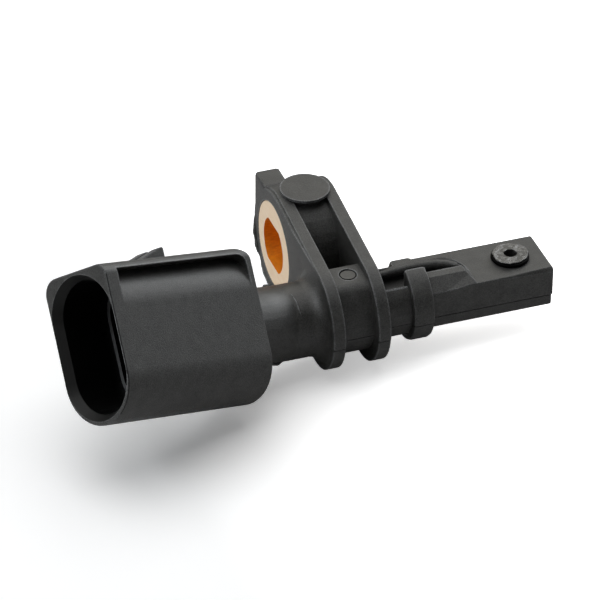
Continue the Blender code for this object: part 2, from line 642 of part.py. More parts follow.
def build_bush(colour):
    """The metal bush, whose round bolt hole has a flat above and one below."""
    eye_frame = Matrix.Translation((0, EYE_Y, EYE_Z))
    shape = cylinder('bush_body', BUSH_RADIUS, LAND_FRONT, 0, eye_frame, edge=BUSH_CHAMFER)
    bush = keep('bush', shape.data.copy(), PARTS)
    bpy.data.objects.remove(shape, do_unlink=True)
    open_angle = math.degrees(math.asin(HOLE_HEIGHT / 2 / HOLE_RADIUS))
    outline = []
    for middle in (0, 180):
        outline += arc((EYE_Y, EYE_Z), HOLE_RADIUS, middle - open_angle, middle + open_angle, SMALL_STEPS // 2)
    hole = extrusion('bolt_hole', outline, LAND_FRONT - PLATE, PLATE)
    combine(bush, [hole], 'DIFFERENCE')
    bush.data.materials.append(colour)
    return bush


def build_carrier(colour):
    """The inner carrier: socket floor, core round the bend, bar, and its two posts."""
    core, posts = core_and_posts('carrier', 0)
    carrier = keep('carrier', core.data.copy(), PARTS)
    bpy.data.objects.remove(core, do_unlink=True)
    floor = extrusion('carrier_floor', oval(DEEP_RADIUS - GAP, DEEP_HALF_HEIGHT - GAP),
                      FLOOR_FACE, FLOOR_BACK, SOCKET_FRAME)
    bar = block('carrier_bar', (CORE_END - FLOOR, -BAR_HALF_WIDTH, BAR_BOTTOM),
                (BAR_END, BAR_HALF_WIDTH, BAR_TOP))
    head = upright('post_head', TIP_POST_HEAD, TIP_POST_TOP - TIP_POST_HEAD_HEIGHT, TIP_POST_TOP,
                   TIP_POST_X, TIP_POST_Y, ROUND_STEPS)
    combine(carrier, [floor, bar, head] + posts, 'UNION')
    hole = upright('post_hole', TIP_POST_HOLE, TIP_POST_TOP - TIP_POST_HOLE_DEPTH, TIP_POST_TOP + PAD,
                   TIP_POST_X, TIP_POST_Y)
    slots = []
    for name, side in (('low', -1), ('high', 1)):
        slots.append(bent_strip('terminal_slot_' + name, side * TERMINAL_SPACING / 2, GAP,
                                FLOOR_FACE - FLOOR, TERMINAL_END + GAP))
    for name, side in (('near', -1), ('far', 1)):
        slots.append(block('lead_groove_' + name,
                           (LEAD_START - GAP, side * LEAD_Y - LEAD_WIDTH / 2 - GAP, LEAD_Z - GAP),
                           (BAR_END + GAP, side * LEAD_Y + LEAD_WIDTH / 2 + GAP, BAR_TOP + GAP)))
    combine(carrier, [hole] + slots, 'DIFFERENCE')
    carrier.data.materials.append(colour)
    return carrier


def build_terminals(colour):
    """Two bent strips whose pointed ends are the pins in the socket."""
    made = []
    for name, side in (('terminal_low', -1), ('terminal_high', 1)):
        strip = bent_strip(name + '_form', side * TERMINAL_SPACING / 2, 0,
                           FLOOR_FACE - TERMINAL_REACH, TERMINAL_END)
        terminal = keep(name, strip.data.copy(), PARTS)
        bpy.data.objects.remove(strip, do_unlink=True)
        terminal.data.materials.append(colour)
        made.append(terminal)
    return made


def build_electronics(lead_colour, chip_colour, capacitor_colour):
    """The chip behind the tip's end face, its two leads and the capacitor on the bar."""
    made = []
    for name, side in (('lead_near', -1), ('lead_far', 1)):
        form = block(name + '_form', (LEAD_START, side * LEAD_Y - LEAD_WIDTH / 2, LEAD_Z),
                     (BAR_END, side * LEAD_Y + LEAD_WIDTH / 2, LEAD_Z + LEAD_THICK))
        made.append((name, form, lead_colour))
    chip = block('chip_form', (CHIP_START, -CHIP_HALF_WIDTH, BAR_BOTTOM),
                 (CHIP_START + CHIP_THICK, CHIP_HALF_WIDTH, CHIP_TOP), edge=EDGE / 2)
    made.append(('sensor_chip', chip, chip_colour))
    bottom = BAR_TOP + GAP
    capacitor = block('capacitor_form', (CAPACITOR_START, -CAPACITOR_HALF_WIDTH, bottom),
                      (CAPACITOR_END, CAPACITOR_HALF_WIDTH, bottom + CAPACITOR_HEIGHT),
                      edge=EDGE / 2)
    made.append(('capacitor', capacitor, capacitor_colour))
    for name, form, colour in made:
        piece = keep(name, form.data.copy(), PARTS)
        bpy.data.objects.remove(form, do_unlink=True)
        piece.data.materials.append(colour)


build_housing(material('black_glass_filled_nylon', (0.035, 0.036, 0.034), 0.55))
build_bush(material('bush_brass', (0.80, 0.62, 0.40), 0.32, 1.0))
build_carrier(material('carrier_black_plastic', (0.020, 0.020, 0.021), 0.35))
build_terminals(material('tinned_brass', (0.72, 0.70, 0.66), 0.30, 1.0))
build_electronics(material('lead_copper', (0.75, 0.42, 0.28), 0.35, 1.0),
                  material('chip_epoxy', (0.015, 0.015, 0.016), 0.45),
                  material('capacitor_epoxy', (0.03, 0.03, 0.05), 0.50))
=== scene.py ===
import math

import bmesh
import bpy
import numpy as np
from mathutils import Matrix, Vector


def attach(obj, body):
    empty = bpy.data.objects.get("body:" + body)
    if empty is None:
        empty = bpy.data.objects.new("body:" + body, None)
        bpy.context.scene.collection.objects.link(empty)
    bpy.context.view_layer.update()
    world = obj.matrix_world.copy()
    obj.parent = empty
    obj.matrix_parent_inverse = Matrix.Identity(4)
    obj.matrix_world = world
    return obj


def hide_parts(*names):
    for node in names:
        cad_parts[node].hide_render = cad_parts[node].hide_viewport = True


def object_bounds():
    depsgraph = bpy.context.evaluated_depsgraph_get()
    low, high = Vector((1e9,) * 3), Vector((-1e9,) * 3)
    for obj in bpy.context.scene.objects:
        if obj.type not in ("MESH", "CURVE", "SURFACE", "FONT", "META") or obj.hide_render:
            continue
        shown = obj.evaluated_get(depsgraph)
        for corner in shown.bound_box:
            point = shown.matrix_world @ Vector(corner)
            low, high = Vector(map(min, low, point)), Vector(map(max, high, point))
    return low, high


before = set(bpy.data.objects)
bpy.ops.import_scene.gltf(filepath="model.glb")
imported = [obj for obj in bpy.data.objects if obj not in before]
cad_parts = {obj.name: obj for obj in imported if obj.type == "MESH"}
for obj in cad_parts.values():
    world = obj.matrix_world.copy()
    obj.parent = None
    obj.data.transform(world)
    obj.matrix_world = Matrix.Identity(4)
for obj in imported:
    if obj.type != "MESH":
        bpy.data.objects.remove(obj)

cad_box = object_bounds()

# The sensor lies on a plain white studio sweep, seen a little from above past its plug end.
# The lens is long, so its parallel edges stay nearly parallel.
CAMERA_PLACE = (-0.19430797, -0.51012791, 0.37819294)
CAMERA_RIGHT = (0.94246394, -0.33423500, 0.00697725)
CAMERA_UP = (0.18471552, 0.53802294, 0.82244240)
CAMERA_BACK = (-0.27864295, -0.77383350, 0.56880561)
LENS_MM = 289.818
FILM_MM = 36.0
NEAREST_SEEN = 0.01


def show(name, data):
    """Puts a new object in the scene, at the origin."""
    item = bpy.data.objects.new(name, data)
    bpy.context.scene.collection.objects.link(item)
    return item


camera = show("camera", bpy.data.cameras.new("camera"))
turn = Matrix((CAMERA_RIGHT, CAMERA_UP, CAMERA_BACK)).transposed().to_4x4()
camera.matrix_world = Matrix.Translation(CAMERA_PLACE) @ turn
camera.data.lens = LENS_MM
camera.data.sensor_width = FILM_MM
camera.data.clip_start = NEAREST_SEEN
bpy.context.scene.camera = camera
bpy.context.scene.view_settings.view_transform = "Standard"


# The moulded body is glass-filled nylon, shot in one piece in a spark-eroded mould, which gives
# it a fine matt grain. The socket's inside is formed by a polished core, so it is smooth, and its
# near-black colour is painted shade. The shape is the imported solid's, merged, with its joints
# to bush and post closed up.
MM = 0.001
NYLON_IOR = 1.53
NYLON_DARK = "#0E0E0D"
NYLON_LIGHT = "#41413F"
NYLON_EDGE_HIGHLIGHT = "#7C7E80"
GRAIN = 0.17 * MM
GRAIN_DEPTH = 0.055 * MM
MOTTLE = 1.6 * MM
MOTTLE_SHARE = 0.35
EDGE_ROUNDING = 0.14 * MM
EDGE_HIGHLIGHT_REACH = 0.28 * MM
NECK_GLOSS = 0.10
NECK_GLOSS_FULL = 6.2 * MM
NECK_GLOSS_OUT = 7.2 * MM
NECK_GLOSS_START = -9.4 * MM
NECK_GLOSS_END = -8.6 * MM
WELD = 0.002 * MM
SLIVER = 0.03 * MM
FLAT = math.radians(0.5)
CREASE = math.radians(24.0)
FACE_CREASE = math.radians(7.5)
LARGE_FACE = 1.5 * MM * MM
ELBOW_X = -13.75 * MM
SOCKET_ROLL = math.radians(-42.0)
SOCKET_BEND = math.radians(29.0)
MOUTH = -35.3 * MM
LEAD_IN = 1.3 * MM
LEDGE_AT = MOUTH + 9.3 * MM
BORE_RADIUS = 5.25 * MM
BORE_STRAIGHT = 3.75 * MM
EYE_MM = (16.35, 1.30)
EYE = np.array(EYE_MM) * MM
BUSH_HOLE = 6.76 * MM
BUSH_RADIUS = 6.46 * MM
ANY_DEPTH = -1.0
HUB_POST = np.array((-3.95, -0.65)) * MM
HUB_POST_HOLE = 1.35 * MM
HUB_POST_RADIUS = 1.05 * MM
HUB_POST_DEEP = 4.0 * MM
SEAM = 0.05 * MM
HUB_SEAM = 0.17 * MM
PARTING = -0.90 * MM
PARTING_LINE = np.array((0, -0.02, -0.12, -0.14)) * MM
PARTING_GROOVE = 0.22 * MM
PARTING_MIDDLE = PARTING - 0.07 * MM
PARTING_UNWORN = 0.25 * MM
MISMATCH = 0.08 * MM
END_MISMATCH = 0.14 * MM
PARTED_FROM = -8.6 * MM
PARTED_OUT = 3.9 * MM
EYE_START = 8.0 * MM
TIP_FACE = 24.5 * MM


def linear(hex_colour):
    """sRGB hex to linear RGBA, by the sRGB curve."""
    parts = np.array([int(hex_colour[i:i + 2], 16) for i in (1, 3, 5)]) / 255
    low = parts / 12.92
    high = ((parts + 0.055) / 1.055) ** 2.4
    return (*np.where(parts <= 0.04045, low, high), 1.0)


def add(tree, kind, settings=None, **links):
    """Adds a shader node. Settings are properties or values of inputs, by name or number; links
    name the outputs that feed its inputs, with spaces written as _ and numbers as _0, _1."""
    node = tree.nodes.new(kind)
    for name, value in (settings or {}).items():
        if isinstance(name, str) and hasattr(node, name):
            setattr(node, name, value)
        else:
            node.inputs[name].default_value = value
    for name, output in links.items():
        socket = int(name[1:]) if name[1:].isdigit() else name.replace("_", " ")
        tree.links.new(output, node.inputs[socket])
    return node


def new_finish(name, settings):
    """A material with one Principled shader, and its node tree, shader and coordinates."""
    made = bpy.data.materials.new(name)
    made.use_nodes = True
    tree = made.node_tree
    shader = tree.nodes["Principled BSDF"]
    for socket, value in settings.items():
        shader.inputs[socket].default_value = value
    place = add(tree, "ShaderNodeTexCoord").outputs["Object"]
    return made, tree, shader, place


def speckled(tree, shader, factor, dark, light):
    """Feeds the base colour with a mix of two colours."""
    colour = add(tree, "ShaderNodeMix", {"data_type": "RGBA", 6: linear(dark), 7: linear(light)},
                 Factor=factor)
    tree.links.new(colour.outputs[2], shader.inputs["Base Color"])


def clouded(name, settings, size, detail, dark, light):
    """A material whose colour drifts between two, in clouds of one size."""
    made, tree, shader, place = new_finish(name, settings)
    cloud = add(tree, "ShaderNodeTexNoise", {"Scale": 1 / size, "Detail": detail}, Vector=place)
    speckled(tree, shader, cloud.outputs["Fac"], dark, light)
    return made


def rows(items, name):
    """A place or a direction of each point or face of a mesh, as rows of three numbers."""
    values = np.empty(len(items) * 3)
    items.foreach_get(name, values)
    return values.reshape(-1, 3)


def keep_edges(mesh):
    """Marks the edges to keep sharp: the steep ones, and those where two large faces meet."""
    shape = bmesh.new()
    shape.from_mesh(mesh)
    for edge in shape.edges:
        angle = edge.calc_face_angle(0)
        large = all(face.calc_area() > LARGE_FACE for face in edge.link_faces)
        edge.smooth = angle < (FACE_CREASE if large else CREASE)
    for face in shape.faces:
        face.smooth = True
    shape.to_mesh(mesh)
    shape.free()


def dressed(node, tighten=()):
    """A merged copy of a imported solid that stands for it. Each hole in tighten is (axis, centre,
    radius, new radius, lowest place along the axis): its wall moves in to the new radius."""
    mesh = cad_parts[node].data.copy()
    mesh.materials.clear()
    shape = bmesh.new()
    shape.from_mesh(mesh)
    bmesh.ops.remove_doubles(shape, verts=shape.verts, dist=WELD)
    bmesh.ops.dissolve_degenerate(shape, dist=SLIVER, edges=shape.edges)
    bmesh.ops.dissolve_limit(shape, angle_limit=FLAT, verts=shape.verts, edges=shape.edges)
    shape.to_mesh(mesh)
    shape.free()
    places = rows(mesh.vertices, "co")
    for axis, centre, radius, new_radius, lowest in tighten:
        across = [i for i in range(3) if i != axis]
        out = places[:, across] - centre
        distance = np.hypot(*out.T)
        wall = (abs(distance - radius) < SEAM) & (places[:, axis] > lowest)
        places[np.ix_(wall, across)] = centre + out[wall] * new_radius / radius
    mesh.vertices.foreach_set("co", places.ravel())
    keep_edges(mesh)
    piece = show(node + "_surface", mesh)
    even = piece.modifiers.new("even", "WEIGHTED_NORMAL")
    even.keep_sharp = True
    even.weight = 80
    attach(piece, "root")
    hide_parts(node)
    return piece


def cut(shape, skin, point, facing, clear_outer=False):
    """Cuts some faces along a plane. Their edges and points are listed in the mesh's own order,
    so that each run gives the same result."""
    edges = dict.fromkeys(edge for face in skin for edge in face.edges)
    points = dict.fromkeys(corner for face in skin for corner in face.verts)
    bmesh.ops.bisect_plane(shape, geom=[*skin, *edges, *points], plane_co=point, plane_no=facing,
                           clear_outer=clear_outer)


def mould_step(piece):
    """A fine groove runs where the mould halves met, and the lower half stands a little inside the
    upper one. The skin is cut at four heights: between the middle two it moves in by the groove's
    depth, and below the last by the mismatch, which is more at the tip's end."""
    shape = bmesh.new()
    shape.from_mesh(piece.data)
    for height in PARTING + PARTING_LINE:
        skin = [face for face in shape.faces if face.calc_center_median().x > PARTED_FROM]
        cut(shape, skin, (0, 0, height), (0, 0, 1))
    shape.to_mesh(piece.data)
    shape.free()
    places = rows(piece.data.vertices, "co")
    along, across, height = places.T
    parted = along > PARTED_FROM
    side = parted & (abs(across) > PARTED_OUT) & (across < EYE_START)
    end = parted & (along > TIP_FACE)
    top, foot = PARTING + PARTING_LINE[[0, -1]]
    groove = (height < top - WELD) & (height > foot + WELD)
    below = height < foot + WELD
    for part, at_side, at_end in ((groove, PARTING_GROOVE, PARTING_GROOVE),
                                  (below, MISMATCH, END_MISMATCH)):
        across[part & side] -= at_side * np.sign(across[part & side])
        along[part & end] -= at_end
    piece.data.vertices.foreach_set("co", places.ravel())
    keep_edges(piece.data)


# Spark erosion pits the mould, so the moulded skin is a broken dark grey that hardly shines. Its
# convex edges are painted paler as a painted highlight, but not at the parting line, and the neck
# is a little smoother. The real pits are under 0.1 mm, too fine to show, so GRAIN is drawn at a
# little over one pixel.
nylon, tree, shader, place = new_finish("glass_filled_nylon_spark_eroded", {
    "IOR": NYLON_IOR, "Specular IOR Level": 0.4})
mottle = add(tree, "ShaderNodeTexNoise", {"Scale": 1 / MOTTLE, "Detail": 3.0}, Vector=place)
grain = add(tree, "ShaderNodeTexNoise", {"Scale": 1 / GRAIN, "Detail": 2.0, "Roughness": 0.7},
            Vector=place)
both = add(tree, "ShaderNodeMath", {"operation": "MULTIPLY_ADD", 1: MOTTLE_SHARE},
           _0=mottle.outputs["Fac"], _2=grain.outputs["Fac"])
tone = add(tree, "ShaderNodeMapRange", {"From Min": 0.45, "From Max": 0.95},
           Value=both.outputs["Value"])
plain = add(tree, "ShaderNodeMix",
            {"data_type": "RGBA", 6: linear(NYLON_DARK), 7: linear(NYLON_LIGHT)},
            Factor=tone.outputs["Result"])
# Convex edges, found by ambient occlusion traced inwards, are painted paler as a painted highlight,
# left out near the parting line.
inward = add(tree, "ShaderNodeAmbientOcclusion",
             {"samples": 6, "inside": True, "only_local": True, "Distance": EDGE_HIGHLIGHT_REACH})
edge = add(tree, "ShaderNodeMapRange", {"From Min": 0.92, "From Max": 0.62, "To Max": 1.3},
           Value=inward.outputs["AO"])
where = add(tree, "ShaderNodeSeparateXYZ", Vector=place)
near_line = add(tree, "ShaderNodeMath",
                {"operation": "COMPARE", 1: PARTING_MIDDLE, 2: PARTING_UNWORN},
                _0=where.outputs["Z"])
exposed = add(tree, "ShaderNodeMath", {"operation": "MULTIPLY_ADD", 1: -1.0, 2: 1.0},
              _0=near_line.outputs["Value"])
edge_highlight = add(tree, "ShaderNodeMath", {"operation": "MULTIPLY"}, _0=edge.outputs["Result"],
             _1=exposed.outputs["Value"])
painted_edge_highlight = add(tree, "ShaderNodeMath", {"operation": "MULTIPLY"}, _0=edge_highlight.outputs["Value"],
              _1=tone.outputs["Result"])
colour = add(tree, "ShaderNodeMix", {"data_type": "RGBA", 7: linear(NYLON_EDGE_HIGHLIGHT)},
             Factor=painted_edge_highlight.outputs["Value"], _6=plain.outputs[2])
tree.links.new(colour.outputs[2], shader.inputs["Base Color"])
dull = add(tree, "ShaderNodeMapRange", {"To Min": 0.34, "To Max": 0.66},
           Value=grain.outputs["Fac"])
across = add(tree, "ShaderNodeVectorMath", {"operation": "MULTIPLY", 1: (0, 1, 1)}, _0=place)
from_axis = add(tree, "ShaderNodeVectorMath", {"operation": "LENGTH"},
                _0=across.outputs["Vector"])
near_axis = add(tree, "ShaderNodeMapRange",
                {"From Min": NECK_GLOSS_OUT, "From Max": NECK_GLOSS_FULL},
                Value=from_axis.outputs["Value"])
before_flange = add(tree, "ShaderNodeMapRange",
                    {"From Min": NECK_GLOSS_END, "From Max": NECK_GLOSS_START},
                    Value=where.outputs["X"])
neck = add(tree, "ShaderNodeMath", {"operation": "MULTIPLY"}, _0=near_axis.outputs["Result"],
           _1=before_flange.outputs["Result"])
smoother = add(tree, "ShaderNodeMath", {"operation": "MULTIPLY_ADD", 1: -NECK_GLOSS},
               _0=neck.outputs["Value"], _2=dull.outputs["Result"])
tree.links.new(smoother.outputs["Value"], shader.inputs["Roughness"])
rounded = add(tree, "ShaderNodeBevel", {"samples": 4, "Radius": EDGE_ROUNDING})
relief = add(tree, "ShaderNodeBump", {"Strength": 0.85, "Distance": GRAIN_DEPTH},
             Height=grain.outputs["Fac"], Normal=rounded.outputs["Normal"])
tree.links.new(relief.outputs["Normal"], shader.inputs["Normal"])

# The polished core leaves a smooth skin, and its near-black colour is painted shade. The lead-in
# round the mouth is duller, and painted a little greyer than the bore but darker than the body, as
# painted shade. The ledge is painted pale as a painted highlight, a pale line deep in the socket.
smooth_core_painted_shade = clouded(
    "polished_core_painted_shade", {"Roughness": 0.35, "IOR": NYLON_IOR, "Specular IOR Level": 0.15},
    size=MOTTLE, detail=2.0, dark="#030303", light="#060606")
lead_in_painted_shade = clouded(
    "lead_in_painted_shade", {"Roughness": 0.5, "IOR": NYLON_IOR, "Specular IOR Level": 0.25},
    size=MOTTLE, detail=3.0, dark="#0E0E0E", light="#171716")
ledge_painted_highlight = clouded(
    "ledge_painted_highlight_nylon", {"Roughness": 0.4, "IOR": NYLON_IOR},
    size=MOTTLE, detail=3.0, dark="#585A5C", light="#85888A")

housing = dressed("housing", (
    (0, EYE, BUSH_HOLE, BUSH_RADIUS + SEAM, ANY_DEPTH),
    (2, HUB_POST, HUB_POST_HOLE, HUB_POST_RADIUS + HUB_SEAM, HUB_POST_DEEP)))
mould_step(housing)

# The tip's near top edge is trimmed off: a chamfer that widens towards the end. Its plane goes
# through three points, in millimetres. It cuts the faces past TRIM_FROM whose middle is above it
# or less than TRIM_NEAR below it.
TRIM_START = (21.0, -4.33, 3.40)
TRIM_TOP = (24.8, -3.98, 3.40)
TRIM_SIDE = (24.8, -4.33, 3.12)
TRIM_FROM = 4.2 * MM
TRIM_NEAR = 3.0 * MM

start, top, side = (Vector(point) * MM for point in (TRIM_START, TRIM_TOP, TRIM_SIDE))
slope = (side - start).cross(top - start).normalized()
slope = slope if slope.z > 0 else -slope
shape = bmesh.new()
shape.from_mesh(housing.data)
skin = [face for face in shape.faces if face.calc_center_median().x > TRIM_FROM
        and (face.calc_center_median() - start).dot(slope) > -TRIM_NEAR]
cut(shape, skin, start, slope, clear_outer=True)
bmesh.ops.holes_fill(shape, edges=[edge for edge in shape.edges if edge.is_boundary])
shape.to_mesh(housing.data)
shape.free()
keep_edges(housing.data)

for finish in (nylon, smooth_core_painted_shade, lead_in_painted_shade, ledge_painted_highlight):
    housing.data.materials.append(finish)
# Faces of the bore get the near-black painted shade, those of the lead-in the darker painted shade,
# and those of the ledge the pale painted highlight.
middles = rows(housing.data.polygons, "center")
socket_turn = np.array(Matrix.Rotation(SOCKET_ROLL, 3, "X") @ Matrix.Rotation(SOCKET_BEND, 3, "Z"))
along, sideways, up = ((middles - (ELBOW_X, 0, 0)) @ socket_turn).T
from_middle = np.hypot(sideways, np.maximum(abs(up) - BORE_STRAIGHT, 0))
in_bore = (from_middle < BORE_RADIUS + SEAM) & (along > MOUTH + LEAD_IN - SEAM) & (along < ELBOW_X)
in_lead = (from_middle < BORE_RADIUS + LEAD_IN) & (along > MOUTH + SEAM) & (along < MOUTH + LEAD_IN)
on_ledge = in_bore & (abs(along - LEDGE_AT) < SEAM)
finish_number = np.select((on_ledge, in_bore, in_lead), (3, 1, 2), 0)
housing.data.polygons.foreach_set("material_index", finish_number.astype(np.int32))


# The bush is a sintered brass ring pressed in the eye, which keeps the bolt from crushing it.
# Its faces are pale and lightly streaked from sizing, and its bore is painted a deep orange-brown
# as painted reflection.
HOLE_RADIUS = 4.05 * MM
FACE_STREAK = 0.8 * MM
FACE_STRETCH = (1, 0.35, 1.6)
BORE_STREAK = 0.7 * MM
BORE_STRETCH = (1, 0.3, 3)
FACING_SIDEWAYS = 0.5

# Sizing burnishes the faces, which gives a warm pale metal with faint streaks across the eye.
brass, tree, shader, place = new_finish("sintered_brass", {"Metallic": 1.0, "Roughness": 0.45})
stretch = add(tree, "ShaderNodeMapping", {"Scale": FACE_STRETCH}, Vector=place)
cloud = add(tree, "ShaderNodeTexNoise",
            {"Scale": 1 / FACE_STREAK, "Detail": 5.0, "Roughness": 0.65},
            Vector=stretch.outputs["Vector"])
speckled(tree, shader, cloud.outputs["Fac"], dark="#F4D6B0", light="#FFF0DA")

# The bore is brass shown half metal, and its deep orange is painted reflection of light bounced
# round inside the hole.
bore_painted_reflection, tree, shader, place = new_finish("brass_bore_painted_reflection",
                                             {"Metallic": 0.5, "Roughness": 0.5})
stretch = add(tree, "ShaderNodeMapping", {"Scale": BORE_STRETCH}, Vector=place)
cloud = add(tree, "ShaderNodeTexNoise", {"Scale": 1 / BORE_STREAK, "Detail": 4.0},
            Vector=stretch.outputs["Vector"])
speckled(tree, shader, cloud.outputs["Fac"], dark="#C06C0A", light="#FFA820")

bush = dressed("bush")
for finish in (brass, bore_painted_reflection):
    bush.data.materials.append(finish)
# Faces inside the hole take the bore's deep orange, a painted reflection.
out = np.hypot(*(rows(bush.data.polygons, "center")[:, 1:] - EYE).T)
facing = abs(rows(bush.data.polygons, "normal")[:, 0])
in_hole = (out < HOLE_RADIUS) & (facing < FACING_SIDEWAYS)
bush.data.polygons.foreach_set("material_index", in_hole.astype(np.int32))


# The carrier is moulded first, in a plain black nylon, and the body is shot round it. Its two
# posts come up through the body; the tip's post has a head that was pressed flat while hot.
CARRIER_SMEAR = 0.5 * MM
CARRIER_DENT = 0.06 * MM

# The skin from a plain mould is smooth and a little smeared, so it has soft uneven shine.
carrier_black, tree, shader, place = new_finish("plain_black_nylon", {
    "IOR": NYLON_IOR, "Specular IOR Level": 0.45})
smear = add(tree, "ShaderNodeTexNoise",
            {"Scale": 1 / CARRIER_SMEAR, "Detail": 4.0, "Roughness": 0.65}, Vector=place)
speckled(tree, shader, smear.outputs["Fac"], dark="#1A1A19", light="#2E2E2B")
shine = add(tree, "ShaderNodeMapRange", {"To Min": 0.25, "To Max": 0.6},
            Value=smear.outputs["Fac"])
tree.links.new(shine.outputs["Result"], shader.inputs["Roughness"])
dents = add(tree, "ShaderNodeBump", {"Strength": 0.7, "Distance": CARRIER_DENT},
            Height=smear.outputs["Fac"])
tree.links.new(dents.outputs["Normal"], shader.inputs["Normal"])

carrier = dressed("carrier")
carrier.data.materials.append(carrier_black)


# The head of the tip's post is the post's own end, pressed down while hot. Its edge is ragged, its
# top lumpy and shiny, and the hole of the pressing pin is nearly square.
HEAD_PLACE = np.array((20.24, 0.10)) * MM
HEAD_TOP = 4.14 * MM
HEAD_RADIUS = 2.50 * MM
HEAD_RAGGED = 0.07 * MM
HEAD_WAVES = np.array([(2, 0.5, 1.0), (3, 2.1, 0.8), (5, 0.3, 0.8), (9, 1.7, 0.5), (17, 4.0, 0.3)])
HEAD_SHIFT = 0.10 * MM
HEAD_SHIFT_TURN = math.radians(225)
HEAD_HOLE = 0.86 * MM
HEAD_HOLE_TURN = 0.35
HEAD_LIP = np.array([(0, -0.40), (0, -0.12), (0.02, -0.04), (0.06, 0)]) * MM
HEAD_EDGE = np.array([(-0.05, 0), (-0.01, -0.04), (0, -0.10), (-0.03, -0.17), (-0.30, -0.22),
                      (-0.60, -0.22)]) * MM
HEAD_LUMP = 0.045 * MM
LUMP_ALONG = 0.21 * MM
LUMP_ACROSS = 0.26 * MM
LUMP_BEND = 1.2
LUMP_BEND_ACROSS = 0.35 * MM
LUMP_TURN = 0.7
SWELL = 0.8
SWELL_ALONG = 0.45 * MM
SWELL_ACROSS = 0.6 * MM
SWELL_TURN = 1.0
HEAD_RIM = 0.07 * MM
RIM_FROM = 0.70
RIM_WIDTH = 0.25
RIM_LEAST = 0.6
RIM_TURN = 0.4
TOP_STEPS = 26
AROUND_STEPS = 160
HEAD_SMEAR = 0.35 * MM
HEAD_DENT = 0.12 * MM


def fill_grid(name, places):
    """A mesh from a grid of places (rows, columns, 3), whose columns close round."""
    count, columns = places.shape[:2]
    number = np.arange(count * columns).reshape(count, columns)
    beside = np.roll(number, -1, axis=1)
    faces = np.stack((number[:-1], beside[:-1], beside[1:], number[1:]), axis=-1)
    mesh = bpy.data.meshes.new(name)
    mesh.from_pydata(places.reshape(-1, 3).tolist(), [], faces.reshape(-1, 4).tolist())
    mesh.shade_smooth()
    return mesh


def head_grid():
    """A profile of radius and height, turned round the post: from inside the hole up over its lip,
    across the top and down under the edge. The outer radius is a circle plus five small waves, and
    the hole's is a superellipse of power 4. The height is the top's, plus short bent waves times
    short waves, plus a longer slanting wave, plus a rim that grows as a square towards the edge."""
    turn = np.linspace(0, 2 * np.pi, AROUND_STEPS, endpoint=False)
    count, phase, size = HEAD_WAVES.T[:, :, None]
    ragged = (size * np.sin(count * turn + phase)).sum(0)
    outer = HEAD_RADIUS + HEAD_RAGGED * ragged + HEAD_SHIFT * np.cos(turn - HEAD_SHIFT_TURN)
    square = turn - HEAD_HOLE_TURN
    hole = HEAD_HOLE * (abs(np.cos(square)) ** 4 + abs(np.sin(square)) ** 4) ** -0.25
    share = np.linspace(0, 1, TOP_STEPS)[1:-1, None]
    across_top = (hole + HEAD_LIP[-1, 0]) * (1 - share) + (outer + HEAD_EDGE[0, 0]) * share
    radius = np.concatenate((hole + HEAD_LIP[:, :1], across_top, outer + HEAD_EDGE[:, :1]))
    drop = np.concatenate((HEAD_LIP[:, 1:], share * 0, HEAD_EDGE[:, 1:]))
    x = radius * np.cos(turn)
    y = radius * np.sin(turn)
    bent = x / LUMP_ALONG + LUMP_BEND * np.sin(y / LUMP_BEND_ACROSS)
    lumps = np.sin(bent) * np.sin(y / LUMP_ACROSS + LUMP_TURN)
    lumps = lumps + SWELL * np.sin(x / SWELL_ALONG - y / SWELL_ACROSS + SWELL_TURN)
    uneven = RIM_LEAST + (1 - RIM_LEAST) * np.sin(2 * turn + RIM_TURN)
    rim = np.clip((radius / HEAD_RADIUS - RIM_FROM) / RIM_WIDTH, 0, 1) ** 2 * uneven
    height = HEAD_TOP + drop + HEAD_LUMP * lumps + HEAD_RIM * rim
    return np.stack((x + HEAD_PLACE[0], y + HEAD_PLACE[1], height), axis=-1)


# The hot punch tears the skin as it lets go, so it is pitted black with small hard glints.
pressed_nylon, tree, shader, place = new_finish("hot_pressed_nylon", {
    "IOR": NYLON_IOR, "Specular IOR Level": 0.95})
smear = add(tree, "ShaderNodeTexNoise",
            {"Scale": 1 / HEAD_SMEAR, "Detail": 5.0, "Roughness": 0.7}, Vector=place)
pits = add(tree, "ShaderNodeMapRange", {"From Min": 0.35, "From Max": 0.65},
           Value=smear.outputs["Fac"])
speckled(tree, shader, pits.outputs["Result"], dark="#010101", light="#2A2927")
shine = add(tree, "ShaderNodeMapRange", {"To Min": 0.05, "To Max": 0.55},
            Value=smear.outputs["Fac"])
tree.links.new(shine.outputs["Result"], shader.inputs["Roughness"])
dents = add(tree, "ShaderNodeBump", {"Strength": 1.0, "Distance": HEAD_DENT},
            Height=smear.outputs["Fac"])
tree.links.new(dents.outputs["Normal"], shader.inputs["Normal"])

head = show("post_head", fill_grid("post_head", head_grid()))
head.data.materials.append(pressed_nylon)
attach(head, "root")


# A near-black ring stands under the head's edge as painted shade of the gap there. Its skin is
# dull, so it shows as a band that is nearly black.
COLLAR_PROFILE = np.array([(2.30, 3.94), (2.56, 3.90), (2.66, 3.80), (2.62, 3.68), (2.68, 3.56),
                           (2.62, 3.44), (2.56, 3.38)]) * MM
COLLAR_WAVE = 0.02 * MM
COLLAR_WAVES = 7


